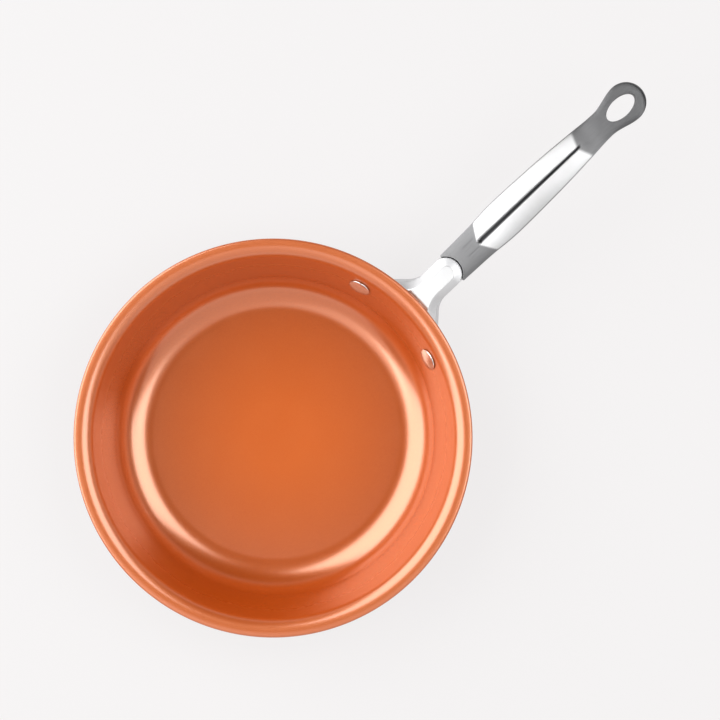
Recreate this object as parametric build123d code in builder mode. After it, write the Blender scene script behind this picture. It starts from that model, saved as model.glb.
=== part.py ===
from build123d import *
from math import cos, radians, sin, sqrt, tan
import os

# A frying pan with a hollow steel handle, in millimetres. The origin is the centre of the base
# where it meets the table, +Z is up, and the handle runs out along +X.

# Bowl: pressed from one sheet, with a leaning wall and a lip rolled out to the horizontal
rim_radius = 120.0
pan_height = 50.0
bowl_sheet = 3.0
corner_radius = 23.0
wall_lean = 22.0  # degrees from vertical
lip_radius = 9.0
lip_flat = 1.5

# Base: a raised round pad under the floor, with a perforated steel plate pressed flush into it
pad_depth = 1.5
pad_inset = 5.0
pad_round = 0.8
plate_thickness = 0.8
plate_inset = 8.0
plate_gap = 0.1
hole_radius = 2.2
hole_rings = 6
first_ring_holes = 6

# Rivets: through the upper half of the wall and through the bracket's ears
rivet_angle = 16.7  # degrees on either side of +X
rivet_place_share = 0.67  # of the wall's straight part, from its foot
rivet_shank_radius = 3.0
rivet_play = 0.1
head_radius = 6.8
head_rise = 1.7
head_edge = 0.5
tail_radius = 5.4
tail_rise = 2.4

# Bracket: a pressed channel that is open below, with an ear on each side against the wall
bracket_sheet = 2.2
seat_gap = 0.1
ear_height = 15.0
lip_gap = 1.5
neck_length = 30.0
neck_pitch = 14.0  # degrees above horizontal
neck_half_width = 9.5
neck_slope = 4.6
flare_reach = 8.0
flare_length = 13.0
flare_round = 15.0
shoulder_half_width = 21.5
shoulder_round = 8.0
root_depth = 10.0
nose_depth = 6.0
nose_setback = 4.2
mouth_gap = 1.2
edge_round = 0.7

# Grip: two pressed half shells that meet on a gently curved seam
grip_length = 153.8
end_pitch = 4.0  # degrees above horizontal, at the eye
grip_sheet = 1.1
grip_half_width = 12.2
grip_rise = 9.0
eye_half_width = 12.05
eye_half_thickness = 3.4
eye_round = 2.6
eye_hole_length = 20.8
eye_hole_width = 11.2
eye_tip_web = 6.0
waist_half_width = 8.6
waist_share = 0.80
plate_lap_share = 0.045

# Grip sections from the mouth to the waist: places along the grip, half widths, and heights of
# the crown above the seam and of the belly below it. The last one is tucked into the eye's plate
station_shares = (0.0, 0.15, 0.25, 0.325, 0.48, 0.58, 0.68, waist_share)
tuck_share = 0.92
waist_width_share = tuck_share * waist_half_width / grip_half_width
waist_rise_share = tuck_share * eye_half_thickness / grip_rise
width_shares = (0.852, 0.902, 0.99, 1.0, 0.947, 0.889, 0.803, waist_width_share)
crown_shares = (0.89, 0.91, 0.985, 1.0, 0.97, 0.89, 0.74, waist_rise_share)
belly_shares = (0.89, 0.90, 0.94, 0.95, 0.92, 0.85, 0.69, waist_rise_share)
shoulder_share = 0.78

# Groove between the two lobes on top of the grip, narrowing from its start to its end
groove_start_station = 1
groove_end_station = 6
groove_width = 3.0
groove_end_width = 1.6
groove_depth = 2.0

# Tang: the bracket's tongue inside the lower shell, where it is welded
tang_length = 22.0
tang_drop = 1.0
tang_gap = 0.15

# How far cutting shapes run past what they cut
overrun = 5.0


# Bowl profile, worked out from the rim inwards
turn = radians(90 - wall_lean)
lean = radians(wall_lean)
floor_top = pad_depth + bowl_sheet
lip_start_height = pan_height - lip_radius * (1 - cos(turn))
wall_start_height = floor_top + corner_radius * (1 - cos(turn))
lip_end_radius = rim_radius - bowl_sheet / 2 - lip_flat
lip_start_radius = lip_end_radius - lip_radius * sin(turn)
wall_start_radius = lip_start_radius - (lip_start_height - wall_start_height) * tan(lean)
floor_radius = wall_start_radius - corner_radius * sin(turn)
pad_radius = floor_radius - pad_inset
plate_radius = pad_radius - plate_inset
ring_pitch = plate_radius / (hole_rings + 0.5)
rivet_height = wall_start_height + rivet_place_share * (lip_start_height - wall_start_height)
rivet_reach = wall_start_radius + rivet_place_share * (lip_start_radius - wall_start_radius)


def corner_point(step, share):
    """Return a point on the floor corner, a step out from its inner face, at a share of its turn."""
    radius = corner_radius + step
    centre_height = floor_top + corner_radius
    return (floor_radius + radius * sin(turn * share), centre_height - radius * cos(turn * share))


def lip_point(step, share):
    """Return a point on the lip's bend, a step below its top face, at a share of its turn."""
    radius = lip_radius - step
    centre_height = pan_height - lip_radius
    return (lip_end_radius - radius * sin(turn * share), centre_height + radius * cos(turn * share))


def inner_face():
    """Draw the face that holds food, from the axis to the flat of the lip."""
    Line((0, floor_top), corner_point(0, 0))
    ThreePointArc(corner_point(0, 0), corner_point(0, 0.5), corner_point(0, 1))
    Line(corner_point(0, 1), lip_point(0, 1))
    ThreePointArc(lip_point(0, 1), lip_point(0, 0.5), lip_point(0, 0))


def outer_face(gap):
    """Draw the rounded edge and the underside back to the axis, moved out by a gap."""
    step = bowl_sheet + gap
    edge_radius = bowl_sheet / 2 + gap
    edge_reach = rim_radius - bowl_sheet / 2
    edge_height = pan_height - bowl_sheet / 2
    edge_top = (edge_reach, edge_height + edge_radius)
    edge_bottom = (edge_reach, edge_height - edge_radius)
    ThreePointArc(edge_top, (edge_reach + edge_radius, edge_height), edge_bottom)
    Line(edge_bottom, lip_point(step, 0))
    ThreePointArc(lip_point(step, 0), lip_point(step, 0.5), lip_point(step, 1))
    Line(lip_point(step, 1), corner_point(step, 1))
    ThreePointArc(corner_point(step, 1), corner_point(step, 0.5), corner_point(step, 0))
    Line(corner_point(step, 0), (0, floor_top - step))


def plate_holes(radius):
    """Cut the base plate's rings of round holes out of a disc."""
    for ring in range(1, hole_rings + 1):
        with PolarLocations(ring * ring_pitch, ring * first_ring_holes):
            Circle(radius, mode=Mode.SUBTRACT)


def rivet_plane(side):
    """Return the plane on the wall's inner face at one rivet, with z pointing into the bowl."""
    angle = radians(side * rivet_angle)
    return Plane(
        origin=(rivet_reach * cos(angle), rivet_reach * sin(angle), rivet_height),
        x_dir=(-sin(angle), cos(angle), 0),
        z_dir=(-cos(lean) * cos(angle), -cos(lean) * sin(angle), sin(lean)),
    )


def rivet_holes():
    """Cut both rivet holes through everything that lies on the wall there."""
    for side in (-1, 1):
        with BuildSketch(rivet_plane(side)) as hole:
            Circle(rivet_shank_radius + rivet_play)
        reach = bowl_sheet + bracket_sheet + overrun
        extrude(hole.sketch, amount=reach, both=True, mode=Mode.SUBTRACT)


# Handle line, seen from the side: straight along the neck, then bending level along the seam
pitch = radians(neck_pitch)
neck_crown = grip_rise * crown_shares[0]
root_height = pan_height - bowl_sheet - lip_gap - neck_crown / cos(pitch)
mouth_reach = rim_radius + neck_length * cos(pitch)
mouth_height = root_height + neck_length * sin(pitch)
seam_radius = grip_length / radians(neck_pitch - end_pitch)


def across_plane(distance):
    """Return the plane across the grip at a distance along it, with x to the side and y up."""
    bend = pitch - distance / seam_radius
    return Plane(
        origin=(
            mouth_reach + seam_radius * (sin(pitch) - sin(bend)),
            0,
            mouth_height + seam_radius * (cos(bend) - cos(pitch)),
        ),
        x_dir=(0, 1, 0),
        z_dir=(cos(bend), 0, sin(bend)),
    )


def level_plane(distance):
    """Return the plane along the grip at a distance along it, with x outwards and z up."""
    across = across_plane(distance)
    return Plane(origin=across.origin, x_dir=across.z_dir, z_dir=across.y_dir)


def side_plane(distance):
    """Return the upright plane along the grip at a distance, with x outwards and y up."""
    across = across_plane(distance)
    return Plane(origin=across.origin, x_dir=across.z_dir, z_dir=(0, -1, 0))


def grip_section(station, inset):
    """Return one cross section of the grip: a round hump above the seam and one below it."""
    half_width = grip_half_width * width_shares[station] - inset
    crown = grip_rise * crown_shares[station] - inset
    belly = grip_rise * belly_shares[station] - inset
    with BuildSketch(across_plane(grip_length * station_shares[station])) as section:
        with BuildLine():
            for reach in (half_width, -half_width):
                points = [
                    (0, -belly),
                    (reach * shoulder_share, -belly * shoulder_share),
                    (reach, 0),
                    (reach * shoulder_share, crown * shoulder_share),
                    (0, crown),
                ]
                Spline(points, tangents=[(reach, 0), (-reach, 0)])
        make_face()
    return section.sketch


def eye_plate(inset):
    """Return the flattened end of the grip: an S curve out of the waist, and a round tip."""
    plane = level_plane(grip_length)
    waist = grip_length * (waist_share - 1)
    lap = waist - grip_length * plate_lap_share
    half_waist = waist_half_width - inset
    half_eye = eye_half_width - inset
    widest = -eye_half_width
    with BuildPart() as plate:
        with BuildSketch(plane):
            with BuildLine():
                for side in (-1, 1):
                    corner = (waist, side * half_waist)
                    Line((lap, side * half_waist), corner)
                    Spline([corner, (widest, side * half_eye)], tangents=[(1, 0), (1, 0)])
                ThreePointArc((widest, half_eye), (widest + half_eye, 0), (widest, -half_eye))
                Line((lap, -half_waist), (lap, half_waist))
            make_face()
        extrude(amount=eye_half_thickness - inset, both=True)
        faces = plate.faces().sort_by(Axis(plane.origin, plane.z_dir))
        fillet(faces[0].edges() + faces[-1].edges(), eye_round - inset)
    return plate.part


def grip_form(inset):
    """Return the grip as one solid, shrunk by an inset, with its eye hole grown by the same."""
    with BuildPart() as form:
        loft([grip_section(station, inset) for station in range(len(station_shares))])
        add(eye_plate(inset))
        with BuildSketch(level_plane(grip_length)):
            with Locations((-eye_tip_web - eye_hole_length / 2, 0)):
                Ellipse(eye_hole_length / 2 + inset, eye_hole_width / 2 + inset)
        extrude(amount=grip_rise, both=True, mode=Mode.SUBTRACT)
    return form.part


def groove_form(spread):
    """Return the long wedge that forms the groove, made wider and deeper by a spread."""
    sections = []
    stations = range(groove_start_station, groove_end_station + 1)
    for step, station in enumerate(stations):
        taper = step / (len(stations) - 1)
        half_width = (groove_width * (1 - taper) + groove_end_width * taper) / 2 + spread
        crown = grip_rise * crown_shares[station]
        with BuildSketch(across_plane(grip_length * station_shares[station])) as section:
            with BuildLine():
                Polyline(
                    (-half_width, crown),
                    (0, crown - groove_depth - spread),
                    (half_width, crown),
                    (half_width, crown + groove_depth),
                    (-half_width, crown + groove_depth),
                    close=True,
                )
            make_face()
        sections.append(section.sketch)
    with BuildPart() as form:
        loft(sections)
    return form.part


def above_seam():
    """Return the space above the seam, which holds the upper shell and runs past both its ends."""
    start, middle, end = (across_plane(grip_length * share) for share in (0, 0.5, 1))
    before = start.origin - overrun * start.z_dir
    after = end.origin + overrun * end.z_dir
    ceiling = end.origin.Z + grip_rise + overrun
    with BuildPart() as space:
        with BuildSketch(Plane.XZ):
            with BuildLine():
                arc = [(plane.origin.X, plane.origin.Z) for plane in (start, middle, end)]
                ThreePointArc(*arc)
                Polyline(
                    arc[-1],
                    (after.X, after.Z),
                    (after.X, ceiling),
                    (before.X, ceiling),
                    (before.X, before.Z),
                    arc[0],
                )
            make_face()
        extrude(amount=grip_half_width + overrun, both=True)
    return space.part


def neck_form(inset):
    """Return the neck as one solid: flat top, sloping sides, round nose and flared root."""
    plane = level_plane(0)
    up = Axis(plane.origin, plane.z_dir)
    out = Axis(plane.origin, plane.x_dir)
    back = -neck_length - rim_radius + wall_start_radius
    flare = flare_reach - neck_length
    half_neck = neck_half_width - inset
    half_shoulder = shoulder_half_width - inset
    nose = half_neck - nose_setback
    crown = neck_crown - inset
    with BuildPart() as form:
        with BuildSketch(plane):
            with BuildLine():
                for side in (-1, 1):
                    FilletPolyline(
                        (back, side * half_shoulder),
                        (flare - flare_length, side * half_shoulder),
                        (flare, side * half_neck),
                        (-nose_setback, side * half_neck),
                        radius=[shoulder_round - inset, flare_round + inset],
                    )
                ThreePointArc((-nose_setback, -half_neck), (nose, 0), (-nose_setback, half_neck))
                Line((back, -half_shoulder), (back, half_shoulder))
            make_face()
        extrude(amount=neck_crown + root_depth, both=True)
        with BuildSketch(side_plane(0)):
            with BuildLine():
                Polyline(
                    (back, crown),
                    (nose, crown),
                    (nose, -nose_depth - inset),
                    (-nose_setback, -nose_depth - inset),
                    (-neck_length, -root_depth - inset),
                    (back, -root_depth - inset),
                    close=True,
                )
            make_face()
        extrude(amount=shoulder_half_width, both=True, mode=Mode.INTERSECT)
        top = form.faces().sort_by(up)[-1]
        chamfer(top.edges().sort_by(out)[1:], neck_slope)
        crown_edges = form.edges().group_by(up)[-1].sort_by(out)[1:]
        fillet(crown_edges + form.edges().group_by(up)[-3], edge_round)
    return form.part


def bowl_space():
    """Return the space the bowl takes, filled to its rim and grown by the bracket's seat gap."""
    edge_reach = rim_radius - bowl_sheet / 2
    with BuildPart() as space:
        with BuildSketch(Plane.XZ):
            with BuildLine():
                outer_face(seat_gap)
                Polyline(
                    (0, floor_top - bowl_sheet - seat_gap),
                    (0, pan_height + seat_gap),
                    (edge_reach, pan_height + seat_gap),
                )
            make_face()
        revolve(axis=Axis.Z)
    return space.part


def ear_band():
    """Return both ears as one band round the wall, with round ends beyond the rivets."""
    near = bowl_sheet + seat_gap
    far = near + bracket_sheet
    middle = (near + far) / 2
    outline = []
    for step, along in ((near, -1), (far, -1), (far, 1), (near, 1)):
        outline.append(
            (
                rivet_reach + step * cos(lean) + along * ear_height * sin(lean),
                rivet_height - step * sin(lean) + along * ear_height * cos(lean),
            )
        )
    spread = (rivet_reach + middle * cos(lean)) * sin(radians(rivet_angle))
    with BuildPart() as band:
        with BuildSketch(Plane.XZ):
            Polygon(*outline, align=None)
        revolve(axis=Axis.Z)
        with BuildSketch(Plane.YZ):
            with Locations((0, rivet_height - middle * sin(lean))):
                SlotCenterToCenter(2 * spread, ear_height)
        extrude(amount=rim_radius, mode=Mode.INTERSECT)
        outside = band.faces().filter_by(GeomType.CONE).sort_by(Axis.X)[-1]
        fillet(outside.edges(), edge_round)
    return band.part


def tang_form():
    """Return the tang: a bar that follows the inside of the lower shell."""
    floor = grip_rise + overrun
    with BuildPart() as form:
        add(grip_form(grip_sheet + tang_gap))
        with BuildSketch(side_plane(0)):
            with BuildLine():
                Polyline(
                    (0, -tang_drop), (tang_length, -tang_drop), (tang_length, -floor), (0, -floor), close=True
                )
            make_face()
        extrude(amount=grip_half_width, both=True, mode=Mode.INTERSECT)
    return form.part


def dome(radius, base, height):
    """Draw one low dome of a rivet in half section, from the edge of its flat seat to the axis."""
    edge = base + (head_edge if height > base else -head_edge)
    rise = height - edge
    bend = (radius**2 + rise**2) / (2 * rise)
    Polyline((rivet_shank_radius, base), (radius, base), (radius, edge))
    RadiusArc((radius, edge), (0, height), -bend)


def rivet_part(side):
    """Return one rivet: a low head in the bowl, a shank, and a tail over the bracket's ear."""
    seat = rivet_plane(side)
    wall_bend = rivet_reach / cos(lean)
    head_base = wall_bend - sqrt(wall_bend**2 - head_radius**2) + rivet_play
    tail_base = -bowl_sheet - seat_gap - bracket_sheet - rivet_play
    with BuildPart() as piece:
        with BuildSketch(Plane(origin=seat.origin, x_dir=seat.x_dir, z_dir=-seat.y_dir)):
            with BuildLine():
                dome(head_radius, head_base, head_base + head_rise)
                Line((rivet_shank_radius, head_base), (rivet_shank_radius, tail_base))
                dome(tail_radius, tail_base, tail_base - tail_rise)
                Line((0, head_base + head_rise), (0, tail_base - tail_rise))
            make_face()
        revolve(axis=Axis(seat.origin, seat.z_dir))
    return piece.part


def mouth_cut():
    """Cut the mouth of the grip to a round notch that leaves a shadow gap around the nose."""
    with BuildSketch(level_plane(0)) as notch:
        with Locations((-nose_setback, 0)):
            Circle(neck_half_width + mouth_gap)
    extrude(notch.sketch, amount=grip_rise + overrun, both=True, mode=Mode.SUBTRACT)


# Pan body
with BuildPart() as pan_body:
    with BuildSketch(Plane.XZ):
        with BuildLine():
            inner_face()
            Line(lip_point(0, 0), (rim_radius - bowl_sheet / 2, pan_height))
            outer_face(0)
            Line((0, floor_top - bowl_sheet), (0, floor_top))
        make_face()
    revolve(axis=Axis.Z)
    with BuildSketch(Plane.XY):
        Circle(pad_radius)
    extrude(amount=pad_depth)
    fillet(pan_body.edges().group_by(Axis.Z)[0], pad_round)
    with BuildSketch(Plane.XY):
        Circle(plate_radius + plate_gap)
        plate_holes(hole_radius - plate_gap)
    extrude(amount=plate_thickness, mode=Mode.SUBTRACT)
    rivet_holes()
pan_body.part.label = "pan_body"

# Perforated steel plate in the base
with BuildPart() as induction_base_plate:
    with BuildSketch(Plane.XY):
        Circle(plate_radius)
        plate_holes(hole_radius)
    extrude(amount=plate_thickness)
induction_base_plate.part.label = "induction_base_plate"

# Bracket
with BuildPart() as handle_bracket:
    add(ear_band())
    add(neck_form(0))
    add(neck_form(bracket_sheet), mode=Mode.SUBTRACT)
    add(tang_form())
    add(bowl_space(), mode=Mode.SUBTRACT)
    rivet_holes()
handle_bracket.part.label = "handle_bracket"

# Rivets
with BuildPart() as rivet_left:
    add(rivet_part(1))
rivet_left.part.label = "rivet_left"

with BuildPart() as rivet_right:
    add(rivet_part(-1))
rivet_right.part.label = "rivet_right"

# Grip, hollow and with its groove, before it is parted along the seam
with BuildPart() as hollow:
    add(grip_form(grip_sheet))
    add(groove_form(grip_sheet), mode=Mode.SUBTRACT)

with BuildPart() as grip:
    add(grip_form(0))
    add(groove_form(0), mode=Mode.SUBTRACT)
    add(hollow.part, mode=Mode.SUBTRACT)
    mouth_cut()

# Grip shells
with BuildPart() as grip_upper_shell:
    add(grip.part)
    add(above_seam(), mode=Mode.INTERSECT)
grip_upper_shell.part.label = "grip_upper_shell"

with BuildPart() as grip_lower_shell:
    add(grip.part)
    add(above_seam(), mode=Mode.SUBTRACT)
grip_lower_shell.part.label = "grip_lower_shell"

os.makedirs("parts", exist_ok=True)
for piece in (
    pan_body,
    induction_base_plate,
    handle_bracket,
    rivet_left,
    rivet_right,
    grip_upper_shell,
    grip_lower_shell,
):
    export_step(piece.part, f"parts/{piece.part.label}.step")
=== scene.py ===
from math import acos, atan2, cos, hypot, pi, radians, sin, sqrt, tan

import bmesh
import bpy
from mathutils import Matrix, Vector


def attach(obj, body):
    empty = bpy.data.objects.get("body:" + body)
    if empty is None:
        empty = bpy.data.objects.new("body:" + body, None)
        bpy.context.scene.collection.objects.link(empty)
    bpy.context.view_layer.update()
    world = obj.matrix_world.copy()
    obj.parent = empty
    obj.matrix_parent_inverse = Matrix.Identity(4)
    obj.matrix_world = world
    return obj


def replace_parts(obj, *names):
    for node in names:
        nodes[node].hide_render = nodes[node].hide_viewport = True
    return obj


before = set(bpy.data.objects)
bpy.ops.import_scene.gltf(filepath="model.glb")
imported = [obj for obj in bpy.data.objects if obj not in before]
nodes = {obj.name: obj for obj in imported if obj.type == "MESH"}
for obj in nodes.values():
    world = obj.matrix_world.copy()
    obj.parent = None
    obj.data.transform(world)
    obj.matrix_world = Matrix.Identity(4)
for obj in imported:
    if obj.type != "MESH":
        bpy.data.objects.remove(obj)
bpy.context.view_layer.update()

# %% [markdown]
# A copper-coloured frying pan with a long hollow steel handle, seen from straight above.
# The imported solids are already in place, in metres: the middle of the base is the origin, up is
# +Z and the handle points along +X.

print("solids", sorted(nodes))


def mm(length):
    """Turn millimetres into metres."""
    return length / 1000


# %% [markdown]
# The camera hangs over the pan and looks straight down. It is turned so that the handle runs to
# the upper right of the picture, and its long lens keeps the rim round and the handle unbent.

# %% Camera
handle_turn = radians(43.55)
camera_data = bpy.data.cameras.new("overhead")
camera_data.lens = 91.6
camera_data.sensor_width = 36.0
camera = bpy.data.objects.new("overhead", camera_data)
camera.location = (0.0702, -0.0020, 1.15)
camera.rotation_euler = (0.0, 0.0, -handle_turn)
bpy.context.scene.collection.objects.link(camera)
bpy.context.scene.camera = camera
bpy.context.scene.view_settings.view_transform = "Standard"
print("camera", tuple(camera.location), "lens", camera_data.lens)

# %% [markdown]
# Every finish is made of shader nodes. A few short helpers add a node, set its sockets and link
# it, so that each material below reads as a list of what the surface is made of.

# %% Shader helpers
def shade(red, green, blue):
    """Turn a colour as a paint chart writes it, 0 to 255, into the light values Blender uses."""
    linear = []
    for part in (red, green, blue):
        share = part / 255
        linear.append(share / 12.92 if share <= 0.04045 else ((share + 0.055) / 1.055) ** 2.4)
    return (*linear, 1.0)


def node(tree, kind, sockets=None, **settings):
    """Add a node, and give each named or numbered socket a value or a link."""
    made = tree.nodes.new(kind)
    for name, value in settings.items():
        setattr(made, name, value)
    for name, value in (sockets or {}).items():
        if isinstance(value, bpy.types.NodeSocket):
            tree.links.new(value, made.inputs[name])
        else:
            made.inputs[name].default_value = value
    return made


def finish_material(name, constants):
    """Start a material, with the values that are the same all over set on its shader."""
    material = bpy.data.materials.new(name)
    material.use_nodes = True
    tree = material.node_tree
    surface = tree.nodes["Principled BSDF"]
    for socket, value in constants.items():
        surface.inputs[socket].default_value = value
    return material, tree, surface


def grain(tree, coordinates, scale, detail=2.0, roughness=0.5):
    """Return a soft random value that varies over the surface."""
    sockets = {"Vector": coordinates, "Scale": scale, "Detail": detail, "Roughness": roughness}
    return node(tree, "ShaderNodeTexNoise", sockets).outputs["Fac"]


def between(tree, value, low, high, start=0.3, end=0.7):
    """Map a value from one range onto another; most grain lies between 0.3 and 0.7."""
    sockets = {"Value": value, "From Min": start, "From Max": end, "To Min": low, "To Max": high}
    return node(tree, "ShaderNodeMapRange", sockets).outputs["Result"]


def blend_colour(tree, share, first, second):
    """Mix two colours by a share."""
    made = node(tree, "ShaderNodeMix", {0: share, 6: first, 7: second}, data_type="RGBA")
    return made.outputs[2]


def calculate(tree, operation, first, second=0.0):
    """Do one sum on two values."""
    return node(tree, "ShaderNodeMath", {0: first, 1: second}, operation=operation).outputs[0]


def relief(tree, height, depth, strength=1.0):
    """Return a surface direction that is roughened by a height, with its depth in metres."""
    sockets = {"Height": height, "Distance": depth, "Strength": strength}
    return node(tree, "ShaderNodeBump", sockets).outputs["Normal"]


# %% [markdown]
# The coat on the pan is a copper-coloured ceramic: an orange ground with fine metal flakes under a
# hard clear glaze. It could be one flat orange, but then the wall would look like plastic. Fine
# grain gives the flakes, wide soft grain gives the slow change of tone that spraying leaves, and
# the glaze gives the pale sheen around the floor. The ground's own reflection is tinted, as on
# metal, so that the highlights stay warm.

# %% Copper ceramic coat
def out_from_axis(tree):
    """Return the distance of a point from the pan's axis, in metres."""
    here = node(tree, "ShaderNodeTexCoord").outputs["Object"]
    flat = node(tree, "ShaderNodeVectorMath", {0: here, 1: (1.0, 1.0, 0.0)}, operation="MULTIPLY")
    return node(tree, "ShaderNodeVectorMath", {0: flat.outputs[0]}, operation="LENGTH").outputs["Value"]


cloud_scale, flake_scale, rub_scale = 9.0, 2600.0, 70.0


def make_copper_coat():
    """Make the sprayed coat: ground colour, a painted shade outwards from the axis, flakes, and a glaze over
    faint rub marks.
    """
    material, tree, surface = finish_material(
        "copper_ceramic_coat",
        {
            "Metallic": 0.2, "IOR": 2.5, "Specular Tint": (1.0, 0.62, 0.36, 1.0),
            "Coat Weight": 0.6, "Coat Roughness": 0.19, "Coat IOR": 1.85,
        },
    )
    here = node(tree, "ShaderNodeTexCoord").outputs["Object"]
    out = out_from_axis(tree)
    cloud = between(tree, grain(tree, here, cloud_scale, 1.0), 0.0, 1.0, 0.2, 0.8)
    flake = between(tree, grain(tree, here, flake_scale, 1.0), 0.0, 1.0, 0.35, 0.65)
    sprayed_tone = blend_colour(tree, cloud, shade(189, 81, 11), shade(192, 84, 13))
    # Painted shade: the ground darkens from 20 mm to 85 mm out from the axis, so the floor's edge, the wall
    # and the lip are darker.
    painted_shade_outward = between(tree, out, 0.0, 1.0, mm(20), mm(85))
    ground = blend_colour(tree, painted_shade_outward, sprayed_tone, shade(160, 63, 6))
    flaked = blend_colour(tree, calculate(tree, "MULTIPLY", flake, 0.2), ground, shade(206, 104, 26))
    tree.links.new(flaked, surface.inputs["Base Color"])
    rub = between(tree, grain(tree, here, rub_scale, 4.0, 0.65), 0.25, 0.27)
    lip = between(tree, out, 0.0, 1.0, mm(104), mm(111))
    rough = calculate(tree, "ADD", rub, calculate(tree, "MULTIPLY", lip, 0.12))
    tree.links.new(rough, surface.inputs["Roughness"])
    tree.links.new(relief(tree, flake, mm(0.01), 0.2), surface.inputs["Normal"])
    return material


copper_coat = make_copper_coat()
print("made", copper_coat.name)

# %% [markdown]
# Under the pan the coat is turned away on a lathe, which leaves bare aluminium with fine rings.
# Grooves in the mesh would need far too many faces, so the rings are grain along one number, the
# distance from the axis.

# %% Turned aluminium
ring_scale = 2200.0


def rings(tree, scale):
    """Return grain that runs in rings about the pan's axis."""
    sockets = {"W": out_from_axis(tree), "Scale": scale, "Detail": 3.0, "Roughness": 0.7}
    return node(tree, "ShaderNodeTexNoise", sockets, noise_dimensions="1D").outputs["Fac"]


def make_turned_aluminium():
    """Make bare aluminium with lathe rings, a little dulled by the hob."""
    material, tree, surface = finish_material("turned_aluminium", {"Metallic": 1.0})
    ring = between(tree, rings(tree, ring_scale), 0.0, 1.0)
    here = node(tree, "ShaderNodeTexCoord").outputs["Object"]
    stain = between(tree, grain(tree, here, 45.0, 4.0, 0.6), 0.0, 1.0)
    bright = blend_colour(tree, ring, shade(196, 197, 199), shade(222, 223, 224))
    dulled = blend_colour(tree, calculate(tree, "MULTIPLY", stain, 0.35), bright, shade(168, 163, 156))
    tree.links.new(dulled, surface.inputs["Base Color"])
    tree.links.new(between(tree, ring, 0.24, 0.40, 0.0, 1.0), surface.inputs["Roughness"])
    tree.links.new(relief(tree, ring, mm(0.02)), surface.inputs["Normal"])
    return material


turned_aluminium = make_turned_aluminium()
print("made", turned_aluminium.name)

# %% [markdown]
# The bracket and the rivets are polished steel, and mirror the studio. A plain mirror would look
# like chrome, so fine hairlines and the film that handling leaves dull it a little. The plate in
# the base is a dull magnetic steel, and grain stretched along one axis makes it look like rolled
# sheet.

# %% Polished steel and base steel
hairline_scale, rolled_scale = 3500.0, 2600.0


def make_polished_steel():
    """Make polished stainless steel with hairline marks, the film that handling leaves, and painted shade on
    the bracket's slopes.
    """
    material, tree, surface = finish_material("polished_steel", {"Metallic": 1.0})
    here = node(tree, "ShaderNodeTexCoord").outputs["Object"]
    film = between(tree, grain(tree, here, 60.0, 4.0, 0.6), 0.0, 1.0)
    slope = node(tree, "ShaderNodeAttribute", attribute_name="slope").outputs["Fac"]
    bright = blend_colour(tree, film, shade(232, 232, 233), shade(226, 226, 226))
    # Painted shade: where the slope mark is 1 the steel is a darker grey, and the same mark also makes it
    # rougher.
    tree.links.new(blend_colour(tree, slope, bright, shade(200, 200, 201)), surface.inputs["Base Color"])
    polished = between(tree, film, 0.22, 0.29, 0.0, 1.0)
    rough = calculate(tree, "ADD", polished, calculate(tree, "MULTIPLY", slope, 0.32))
    tree.links.new(rough, surface.inputs["Roughness"])
    stretch = node(tree, "ShaderNodeMapping", {"Vector": here, "Scale": (0.08, 1.0, 1.0)}).outputs[0]
    hairline = grain(tree, stretch, hairline_scale)
    tree.links.new(relief(tree, hairline, mm(0.004), 0.6), surface.inputs["Normal"])
    return material


def make_base_steel():
    """Make the dull rolled steel of the plate in the base, with faint heat stains."""
    material, tree, surface = finish_material("base_steel", {"Metallic": 1.0})
    here = node(tree, "ShaderNodeTexCoord").outputs["Object"]
    stretch = node(tree, "ShaderNodeMapping", {"Vector": here, "Scale": (0.03, 1.0, 1.0)}).outputs[0]
    rolled = between(tree, grain(tree, stretch, rolled_scale, 3.0), 0.0, 1.0)
    heat = between(tree, grain(tree, here, 26.0, 3.0), 0.0, 1.0, 0.45, 0.75)
    grey = blend_colour(tree, rolled, shade(158, 158, 160), shade(186, 186, 188))
    warm = blend_colour(tree, calculate(tree, "MULTIPLY", heat, 0.3), grey, shade(158, 146, 128))
    tree.links.new(warm, surface.inputs["Base Color"])
    tree.links.new(between(tree, rolled, 0.30, 0.42, 0.0, 1.0), surface.inputs["Roughness"])
    tree.links.new(relief(tree, rolled, mm(0.01)), surface.inputs["Normal"])
    return material


polished_steel = make_polished_steel()
base_steel = make_base_steel()
print("made", polished_steel.name, base_steel.name)

# %% [markdown]
# The grip is brushed along its length at both ends, and polished on its two long lobes. Even grain
# would look like dirt, so the grain is stretched along the grip, and the shader's anisotropy
# spreads each highlight across the strokes, as real brushing does. Marks on the mesh say where the
# lobes are, and where a painted shade darkens the groove and the short creases, so that one
# material covers a whole shell. A painted shade also turns the brushed steel darker towards the eye.

# %% Grip steel
brushed_scale = 5000.0


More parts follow.
